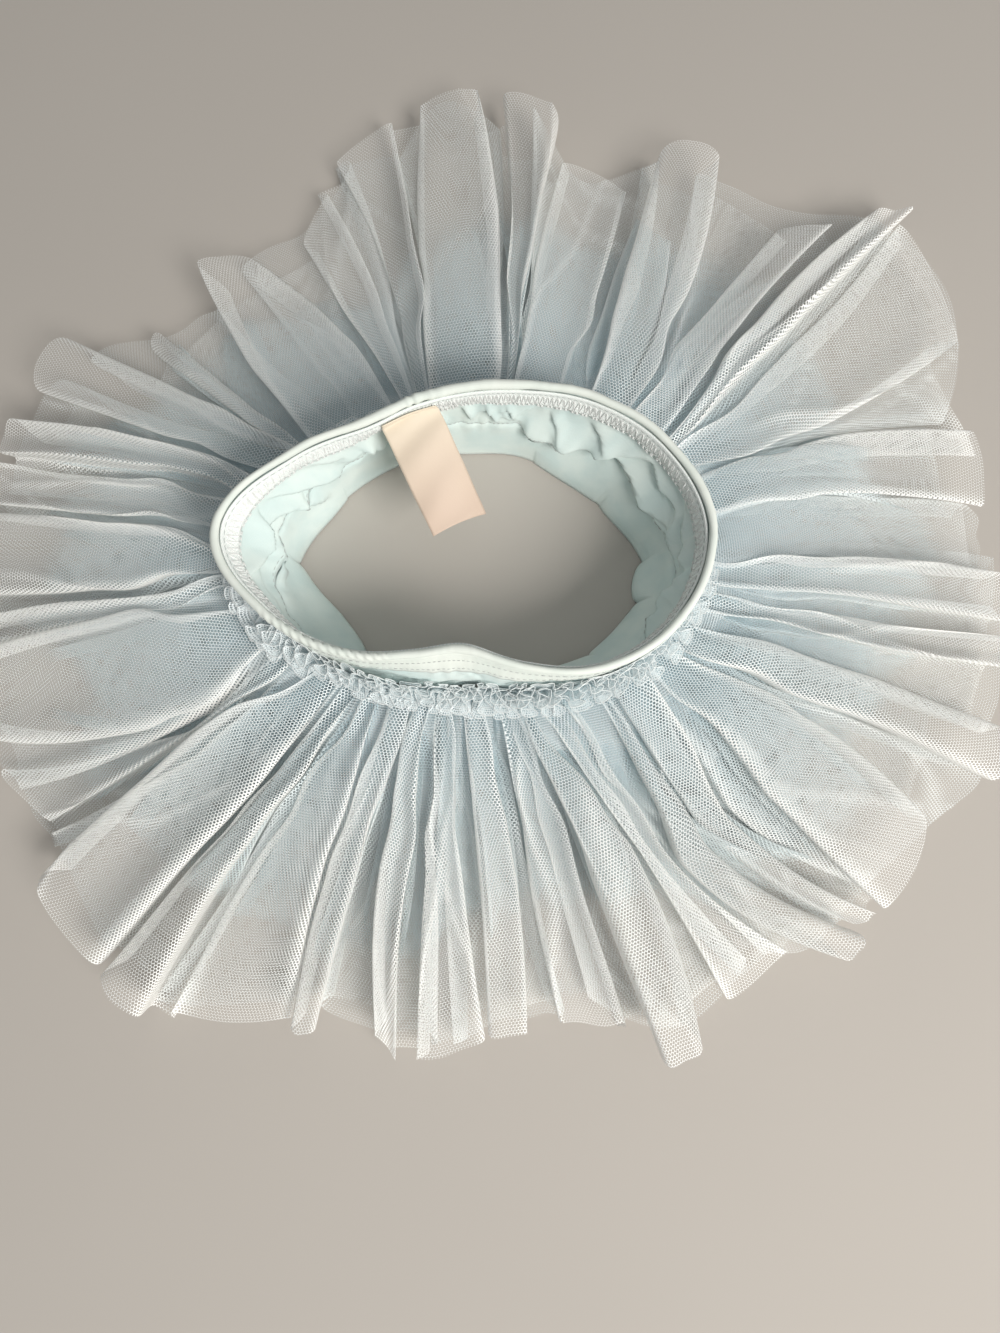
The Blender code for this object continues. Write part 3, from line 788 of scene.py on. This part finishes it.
def petalControls(shift, seed):
    # five places across each petal: left edge, crest, right edge, and the two tucks behind it;
    # shift 0 keeps the table's petals, 1 lays half as many, from one crest to the next but one
    get = {name: tableColumn(longNet, "petals", name).astype(float) for name in longNet["petalsColumns"]}
    chance = np.random.default_rng(seed)
    jitter = chance.uniform(-1.0, 1.0, (4, len(get["rise"])))
    loose = 0.1 + 0.9 * chance.uniform(0.0, 1.0, (2, len(get["rise"]))) ** 2
    reachL, reachR, gap, rise = [get[name] for name in ("reachL", "reachR", "gap", "rise")]
    lines = {level: (get[level + "L"], get[level + "R"]) for level in ("root", "mid", "hem")}
    crestReach = 0.5 * (reachL + reachR)
    if shift:
        jitter, loose = jitter[:, ::2], loose[:, ::2]
        for level, (left, right) in lines.items():
            crest = 0.5 * (left + right)[::2]
            wide = np.append(crest[1:], crest[0] + 360.0) - crest
            lines[level] = (crest + 0.12 * wide * (1 + jitter[0]),
                            crest + wide - 0.12 * wide * (1 + jitter[1]))
        reachL = crestReach[::2]
        reachR = np.append(reachL[1:], reachL[0])
        crestReach = np.append(crestReach[1::2], 0.5 * (reachL[-1] + reachL[0]))
        gap = np.minimum(reachR, np.append(gap[1::2], gap[-1])) + 3.0
        rise = 0.7 * rise[::2] + 0.3 * np.roll(rise[::2], -1) + 2.0 * jitter[2]
    width = lines["mid"][1] - lines["mid"][0]
    tucks = {"root": 0.3 + 0 * width, "mid": np.clip(0.28 * width, 1.0, 3.2),
             "hem": np.clip(0.2 * width, 0.8, 1.8)}
    angles = {}
    for level, (left, right) in lines.items():
        tuck = tucks[level] * (1.0 if level == "root" else loose)
        tuck = np.broadcast_to(tuck, (2, len(width)))
        after = np.append((left + tuck[0])[1:], left[0] + tuck[0][0] + 360.0)
        angles[level] = inTurn(left, 0.5 * (left + right), right, right - tuck[1], after)
    # a lobe that stands out past the gaps beside it is round, the others run on into the gaps
    wide = np.radians(lines["hem"][1] - lines["hem"][0]) * crestReach
    stands = smoothStep(0.0, 14.0, crestReach - np.maximum(gap, np.roll(gap, 1)))
    crestReach = crestReach + np.minimum(0.07 * wide, 3.5) * (0.3 + 0.7 * stands)
    reachL, reachR = [reach - np.minimum(0.14 * wide, 7.0) * (1.0 + 0.5 * uneven) * (0.15 + 0.85 * stands)
                      for reach, uneven in ((reachL, jitter[2]), (reachR, jitter[3]))]
    between = np.maximum(gap - 2.0, np.minimum(reachL, np.roll(reachL, -1)) - 6.0)
    return angles, inTurn(reachL, crestReach, reachR, between, between), np.repeat(rise, 5)


def alongControls(values, index, part, turn=0.0):
    # smooth curve through the controls; turn is what one whole round adds
    wide = np.concatenate([values[..., -1:] - turn, values, values[..., :2] + turn], axis=-1)
    return catmullRom(*[wide[..., index + step] for step in range(4)], part)


def panelUv(points, samples):
    # the net keeps its size on each petal from seam to hem: u is counted from the petal's crest, as
    # long as the petal is wide at that height, and what is over is taken up in the tucks between
    uv = walkedUv(points, at=0.95)
    walk = uv[0, :, 0]
    columns = len(walk) - 1
    block = 5 * samples
    petals = columns // block
    step = np.linalg.norm(np.roll(points, -1, axis=1) - points, axis=-1)
    panel = step.reshape(len(points), petals, block)[:, :, :2 * samples].sum(axis=2)
    share = np.clip(panel / panel[int(0.95 * (len(points) - 1))], 0.15, 1.4)
    place = np.arange(columns + 1) - samples
    petal = place // block
    walked = []
    for start in (samples, 2 * samples, block, block + samples):
        spot = petal * block + start
        walked.append(walk[spot % columns] + walk[-1] * (spot // columns))
    crest, right, left, nextCrest = walked
    before = crest + share[:, petal % petals] * (walk - crest)
    after = nextCrest + share[:, (petal + 1) % petals] * (walk - nextCrest)
    passed = smoothStep(right, left, walk)
    uv[..., 0] = (1.0 - passed) * before + passed * after
    return uv


def bendCurves(share, middle):
    # how much a folded line's three places count on the way from seam to hem: a parabola through
    # them, mixed by kink with two straight runs
    kink = longNet["kink"]
    rootPart = (1 - kink) * (share - middle) * (share - 1.0) / middle
    rootPart = rootPart + kink * np.clip(1.0 - share / middle, 0.0, 1.0)
    hemPart = (1 - kink) * share * (share - middle) / (1.0 - middle)
    hemPart = hemPart + kink * np.clip((share - middle) / (1.0 - middle), 0.0, 1.0)
    return {"root": rootPart, "mid": 1.0 - rootPart - hemPart, "hem": hemPart}


def netCreases(turn, share, setup):
    # creases lie where a noise line crosses zero; one family leans each way
    seed, creases = setup["seed"], setup["creases"]
    total = np.zeros(np.broadcast(turn, share).shape)
    for lean, count, start in ((0.014, creases, 10), (-0.018, creases - 10, 20)):
        bent = turn + lean * (share - 0.3) + 0.006 * clothNoise(turn, share, 24, 3, seed + start)
        wander = closedNoise(bent, count, seed + start + 1)
        reach = 0.5 + 0.5 * closedNoise(turn, count, seed + start + 2)
        lasting = smoothStep(0.04, 0.2, share - 0.35 * (1.0 - reach))
        lasting = lasting * (1.0 - smoothStep(0.75, 1.0, share - 0.5 * reach))
        line = np.clip(1.0 - np.abs(wander) / longNet["creaseWide"], 0.0, 1.0)
        total = np.maximum(total, line * lasting)
    return total


def netHeight(turn, share, crest, high, busy, crease, setup):
    # the height swings between the crest line and the trough line; pleats and gathers near the
    # seam, a flutter near the hem and the creases are added to it
    seed = setup["seed"]
    crestLine = setup["root"] + share * (high - setup["root"]) + setup["swell"] * np.sin(math.pi * share)
    opened = smoothStep(0.0, 0.3, share)
    landing = 1.0 - smoothStep(-0.1, setup["lands"], share)
    troughLine = setup["floor"] + (setup["root"] - 2.0 - setup["floor"]) * landing
    height = troughLine + (crestLine - troughLine) * (crest * opened + (1 - opened) * 0.5)
    pleat = clothNoise(turn, share, setup["pleats"], 3, seed + 2)
    pleat = pleat * (1.0 - (1.0 - busy) * smoothStep(0.15, 0.5, share))
    pleatSize = longNet["pleat"] * (1.0 - 0.75 * smoothStep(0.1, 0.8, share)) * smoothStep(-0.05, 0.1, share)
    gather = closedNoise(turn, 340, seed + 4) * (1.0 - smoothStep(0.05, 0.4, share))
    flutter = clothNoise(turn, share, 96, 4, seed + 5) * longNet["flutter"] * smoothStep(0.45, 1.0, share)
    height = height + setup["fine"] * (pleat * pleatSize + gather + flutter + longNet["crease"] * crease)
    return np.maximum(height, 0.6 + 0.3 * np.abs(pleat))


def netMasks(points, turn, share, sharp, doubled, creased, setup):
    # gather: threads crowd near the seam, and thin out at a short hem; it also darkens the colour as painted
    # shade. fold: folded edges, doubled cloth, creases, and slopes, where threads close up as one over the
    # slope's cosine; it also whitens the colour as a painted highlight
    tail = smoothStep(0.84, 1.0, share + 0.1 * closedNoise(turn, 130, setup["seed"] + 15)) * setup["thins"]
    across = np.roll(points, -1, axis=1) - np.roll(points, 1, axis=1)
    normal = np.cross(across, np.gradient(points, axis=0))
    cosine = np.abs(normal[..., 2]) / np.linalg.norm(normal, axis=-1)
    steep = 0.16 * (1.0 / np.maximum(cosine, 0.06) - 1.0)
    lines = 0.9 * sharp[None].clip(0.0) ** 9 + 0.16 * doubled[None].clip(0.0)
    lines = np.clip(lines + creased + steep, 0.0, 1.0)
    return {"gather": 1.0 - smoothStep(0.0, setup["opens"], share) - tail,
            "fold": lines * smoothStep(0.0, 0.12, share) * np.clip(1.0 - 1.4 * tail, 0.0, 1.0)}


def netSheet(name, setup):
    # controls give each column's plan, reach and crest; columns crowd towards the folded edges
    seed, samples = setup["seed"], setup["samples"]
    angles, reach, rise = petalControls(setup["shift"], seed)
    petals = len(rise) // 5
    step = np.arange(samples) / samples
    early = 1.0 - np.cos(0.5 * math.pi * step)
    late = np.sin(0.5 * math.pi * step)
    crowd = 0.5 * np.stack([early, late, early, step, late]) + 0.5 * step
    index = np.repeat(np.arange(5 * petals), samples)
    part = np.tile(crowd.reshape(-1), petals)
    share = np.linspace(0.0, 1.0, setup["rows"])[:, None]
    turn = (np.arange(len(index)) / len(index))[None, :]
    bends = longNet["middle"] + 0.1 * np.random.default_rng(seed + 18).uniform(-1.0, 1.0, petals)
    curve = bendCurves(share, alongControls(np.repeat(bends, 5), index, part)[None, :])
    plan = {level: alongControls(values, index, part, 360.0) for level, values in angles.items()}
    angle = sum(curve[level] * plan[level][None] for level in plan)
    if setup["short"]:
        outer = tableCurve(plan["hem"], shortNet, "hem", "reach") - setup["less"]
        outer = outer + 7.0 * closedNoise(turn[0], 96, seed + 1)
    else:
        outer = alongControls(reach.astype(float), index, part) - setup["less"]
        outer = outer + closedNoise(turn[0], 300, seed + 1) + 4.0 * closedNoise(turn[0], 75, seed + 11)
    # each petal's edges and crest stand differently high, and the tucks lie low
    tilt = np.random.default_rng(seed + 12).uniform(-1.0, 1.0, (4, petals))
    edgeL, edgeR = setup["edge"] + 0.2 * tilt[:2]
    top = np.minimum(1.0, 0.5 * (edgeL + edgeR) + 0.06 + 0.14 * tilt[2])
    valley = np.maximum(0.0, 0.45 * tilt[3] + 0.05)
    crest = alongControls(inTurn(edgeL, top, edgeR, valley, valley), index, part)
    high = alongControls(rise, index, part) * setup["rise"]
    busy = np.clip(0.85 + 0.85 * closedNoise(turn, 23, seed + 17), 0.2, 1.6)
    crease = netCreases(turn, share, setup) * np.minimum(busy, 1.0)
    height = netHeight(turn, share, crest, high, busy, crease, setup)
    inner = yokeRadius(plan["root"], seamHeight) / milli + 1.0
    radius = inner[None] + share * (outer[None] - inner[None])
    radius = radius + 1.2 * closedNoise(turn, 90, seed + 6) * np.sin(math.pi * share)
    angle = angle + setup["wander"] * clothNoise(turn, share, 48, 3, seed + 14) * smoothStep(0.05, 0.4, share)
    close = smoothStep(0.02, 0.14, share) * (1.0 - smoothStep(0.3, 0.62, share))
    angle = angle + setup["meander"] * clothNoise(turn, share, 72, 7, seed + 24) * close
    points = around(angle, milli * radius, milli * height)
    # folded edges are sharp lines of their own strength; a narrow petal is doubled cloth throughout; both
    # crowd the net and carry the painted highlight of folds
    side = 0.8 + 0.2 * np.random.default_rng(seed + 16).uniform(0.0, 1.0, (2, petals))
    flat = np.zeros(petals)
    hem = angles["hem"].reshape(petals, 5)
    thin = np.clip(1.0 - (hem[:, 2] - hem[:, 0]) / 7.0, 0.0, 1.0)
    doubled = alongControls(inTurn(thin, thin, thin, flat, flat), index, part)
    sharp = alongControls(inTurn(side[0], flat, side[1], flat, flat), index, part)
    # creases crowd the net and carry a painted highlight, more near the seam
    creased = (0.35 + 0.35 * close) * crease ** 2
    masks = netMasks(points, turn, share, sharp, doubled, creased, setup)
    uv = panelUv(points, samples)
    wide = np.append(turn[0], 1.0)[None, :]
    uv[..., 0] += 0.5 * milli * np.sin(share * 9.0 + 4.0 * closedNoise(wide, 60, seed + 7))
    uv[..., 1] += 0.8 * milli * closedNoise(wide, 150, seed + 8)
    return gridMesh(name, points, uv=uv, masks=masks, flip=True)


# The four layers, top first. Millimetres, and shares of the way from seam to hem: how much a hem
# falls short, how high folded edges stand, the crest line's height at the seam and swell midway,
# the trough line's, where it lands, how many pleats and creases, and where the gathers open.
longCloth = dict(short=False, thins=0.0, creases=64, wander=0.5, meander=1.3)
shortCloth = dict(short=True, thins=1.5, creases=56, wander=0.7, meander=1.0, opens=0.8)
netLayers = {
    "longTop": dict(longCloth, shift=0, seed=41, samples=12, rows=46, less=0.0, edge=0.8, rise=1.0,
                    root=27.0, floor=3.0, swell=3.0, lands=0.85, pleats=150, fine=1.0, opens=0.75),
    "longUnder": dict(longCloth, shift=1, seed=51, samples=19, rows=44, less=5.0, edge=0.75, rise=0.6,
                      root=25.0, floor=1.2, swell=2.5, lands=0.8, pleats=130, fine=0.9, opens=0.7),
    "shortUpper": dict(shortCloth, shift=0, seed=61, samples=10, rows=36, less=0.0, edge=0.75, rise=0.8,
                       root=22.5, floor=2.4, swell=2.0, lands=0.9, pleats=140, fine=0.9),
    "shortLower": dict(shortCloth, shift=1, seed=71, samples=17, rows=32, less=9.0, edge=0.7, rise=0.45,
                       root=20.0, floor=0.8, swell=1.5, lands=0.8, pleats=120, fine=0.8),
}
# Thread colours at the seam, at the hem and on folds, density, how much gathers add, and mesh.
# The tulle is one pale blue: the darker, bluer seam colour is painted shade in the crowded gathers,
# the whiter hem colour is a painted highlight on the threads, and the fold colour is a painted highlight.
netColors = {
    "sheerNet": ((0.86, 0.93, 0.95), (0.95, 0.97, 0.96), (0.95, 0.96, 0.94), -0.035, 0.045, 1.3 * milli),
    # this and the two dense nets, for the layers under the top one, are darker copies: painted shade of the
    # layers above
    "sheerNetUnder": ((0.48, 0.62, 0.68), (0.80, 0.84, 0.84), (0.95, 0.96, 0.94), -0.045, 0.07, 1.3 * milli),
    "denseNet": ((0.35, 0.50, 0.56), (0.61, 0.70, 0.72), (0.86, 0.91, 0.91), 0.05, 0.16, 1.2 * milli),
    "denseNetUnder": ((0.33, 0.47, 0.53), (0.53, 0.63, 0.66), (0.80, 0.86, 0.87), 0.09, 0.24, 1.2 * milli),
    "headingNet": ((0.82, 0.93, 0.96), (0.90, 0.96, 0.98), (0.95, 0.98, 0.99), 0.03, 0.12, 1.0 * milli),
}
netMaterials = {name: netMaterial(name, *values) for name, values in netColors.items()}


def buildSkirt():
    # each layer of net in its own finish, in the place of the strip it stands for
    made = {}
    for name, finishName, node in (("longTop", "sheerNet", "tulle_long_top"),
                                   ("longUnder", "sheerNetUnder", "tulle_long_under"),
                                   ("shortUpper", "denseNet", "tulle_short_upper"),
                                   ("shortLower", "denseNetUnder", "tulle_short_lower")):
        made[name] = place(netSheet(name, netLayers[name]), netMaterials[finishName], "net", [node])
        print("net layer", name, "ready")
    return made


skirtLayers = buildSkirt()
frill = buildHeading(netMaterials["headingNet"])
print("skirt and heading ready")

# The care label: a bare satin strip, from under the casing out over the opening.
label = {
    "line": (
        (-25.2, 50.4, 51.9), (-23.4, 46.2, 48.2), (-20.3, 39, 46.8), (-15, 28, 43.4), (-8.5, 16.5, 36.9),
        (-2.5, 7, 29.5),
    ),
    "side": (0.886, 0.464, 0.0), "wide": 24.0, "long": 50.0, "rows": 40, "columns": 24, "thick": 0.35 * milli,
    "gap": 0.8 * milli,
}


def labelPoints(along, across):
    # the centre line, drawn to each side; the sides curl down, and one lower corner lifts
    line = np.array(label["line"])
    knots = np.linspace(0.0, 1.0, len(line))
    middle = np.mean([np.stack([np.interp(np.clip(along + near, 0, 1), knots, line[:, axis])
                                for axis in range(3)], axis=-1)
                      for near in np.linspace(-0.12, 0.12, 7)], axis=0)
    points = middle + across[..., None] * label["wide"] * np.array(label["side"])
    curl = -2.4 * (2 * across) ** 2 * smoothStep(0.0, 0.9, along) + 1.4 * np.sin(along * 5.0) * across
    lift = 3.0 * smoothStep(0.7, 1.0, along) * (0.5 - across)
    points[..., 2] += curl + lift - 0.35 * np.sin(along * 23.0 + 4.0 * across)
    points[..., :2] += 1.3 * np.sin(math.pi * along)[..., None] * np.array(label["side"][:2])
    # its upper end lies against the elastic
    turn = np.degrees(np.arctan2(points[..., 1], points[..., 0]))
    away = np.hypot(points[..., 0], points[..., 1])
    face = yokeRadius(turn, milli * points[..., 2]) - elastic["inset"] - elastic["wall"] - label["gap"]
    points[..., :2] *= np.minimum(1.0, face / milli / away)[..., None]
    return around(0.0, 0.0, 0.0) + milli * points


def labelMaterial():
    # satin: fine crosswise ribs; peach at its upper end, darker and browner towards its lower end, with a
    # slow random drift to a middle tan
    material, tree, shader = newMaterial("labelSatin", 0.5, 0.15, 0.25)
    cloth = clothSpot(tree)
    parts = addNode(tree, "SeparateXYZ", {0: cloth})
    drift = addNode(tree, "TexNoise", {"Vector": cloth, "Scale": 35.0, "Detail": 2.0}).outputs["Fac"]
    down = rangeMap(tree, parts.outputs["Y"], 0.0, 0.05, 0.0, 1.0)
    tint = mixColor(tree, down, (0.86, 0.77, 0.61), (0.64, 0.49, 0.39))
    tint = mixColor(tree, calc(tree, "MULTIPLY", drift, 0.5), tint, (0.80, 0.68, 0.58))
    ribs = calc(tree, "SINE", calc(tree, "MULTIPLY", parts.outputs["Y"], 2 * math.pi / (0.35 * milli)))
    finish(tree, shader, tint, ribs, 0.25)
    return material


def buildLabel():
    # a flat grid laid on the label's own line, given its thickness afterwards
    along, across = np.meshgrid(np.linspace(0, 1, label["rows"]),
                                np.linspace(-0.5, 0.5, label["columns"]), indexing="ij")
    points = labelPoints(along, across)
    size = np.stack([across * label["wide"], along * label["long"]], axis=-1) * milli
    piece = gridMesh("careLabel", points, closedAlong=False, uv=size)
    wall = piece.modifiers.new("thickness", "SOLIDIFY")
    wall.thickness = label["thick"]
    return place(piece, labelMaterial(), "label", ["care_label"])


careLabel = buildLabel()
print("label ready")


studio = {
    "target": (0.0104, -0.0607, 0.0), "distance": 0.414, "elevation": 79.0, "lens": 26.0,
    "key": {"at": (0.86, -0.99, 1.12), "size": 0.7, "power": 29.0, "color": (1.0, 0.96, 0.91)},
    "fill": {"at": (0.3, -0.2, 1.5), "size": 1.2, "power": 2.2, "color": (1.0, 0.99, 0.96)},
    "world": 0.27, "floor": (0.50, 0.47, 0.435),
}


def aim(thing, target):
    # turns a camera or a lamp to look at a point
    thing.rotation_euler = (Vector(target) - thing.location).to_track_quat("-Z", "Y").to_euler()


def buildStudio():
    # the camera in front and above, two soft lamps and an even sky
    data = bpy.data.cameras.new("camera")
    data.lens = studio["lens"]
    data.sensor_width = 36.0
    data.sensor_fit = "AUTO"
    data.clip_start = 0.01
    camera = bpy.data.objects.new("camera", data)
    tilt = math.radians(studio["elevation"])
    away = studio["distance"] * Vector((0, -math.cos(tilt), math.sin(tilt)))
    camera.location = Vector(studio["target"]) + away
    bpy.context.scene.collection.objects.link(camera)
    aim(camera, studio["target"])
    bpy.context.scene.camera = camera
    for name in ("key", "fill"):
        setup = studio[name]
        light = bpy.data.lights.new(name, "AREA")
        light.size = setup["size"]
        light.energy = setup["power"]
        light.color = setup["color"]
        lamp = bpy.data.objects.new(name, light)
        lamp.location = setup["at"]
        bpy.context.scene.collection.objects.link(lamp)
        aim(lamp, (0.0, 0.0, 0.0))
    world = bpy.data.worlds.new("studio")
    bpy.context.scene.world = world
    world.use_nodes = True
    sky = world.node_tree.nodes["Background"].inputs
    sky["Color"].default_value = (0.98, 0.99, 0.98, 1.0)
    sky["Strength"].default_value = studio["world"]
    bpy.context.scene.view_settings.view_transform = "Standard"
    bpy.context.scene.cycles.transparent_max_bounces = 48


def buildFloor():
    # a plain sheet of matt paper
    points = np.stack(np.meshgrid([-4.0, 4.0], [-4.0, 4.0], [0.0]), axis=-1)[:, :, 0]
    floor = gridMesh("floor", points, closedAlong=False)
    material, tree, shader = newMaterial("palePaper", 0.9, 0.0, 0.2)
    speckle(tree, shader, studio["floor"], 0.96, 6.0, 3.0)
    floor.data.materials.append(material)


buildStudio()
buildFloor()
print("studio ready")
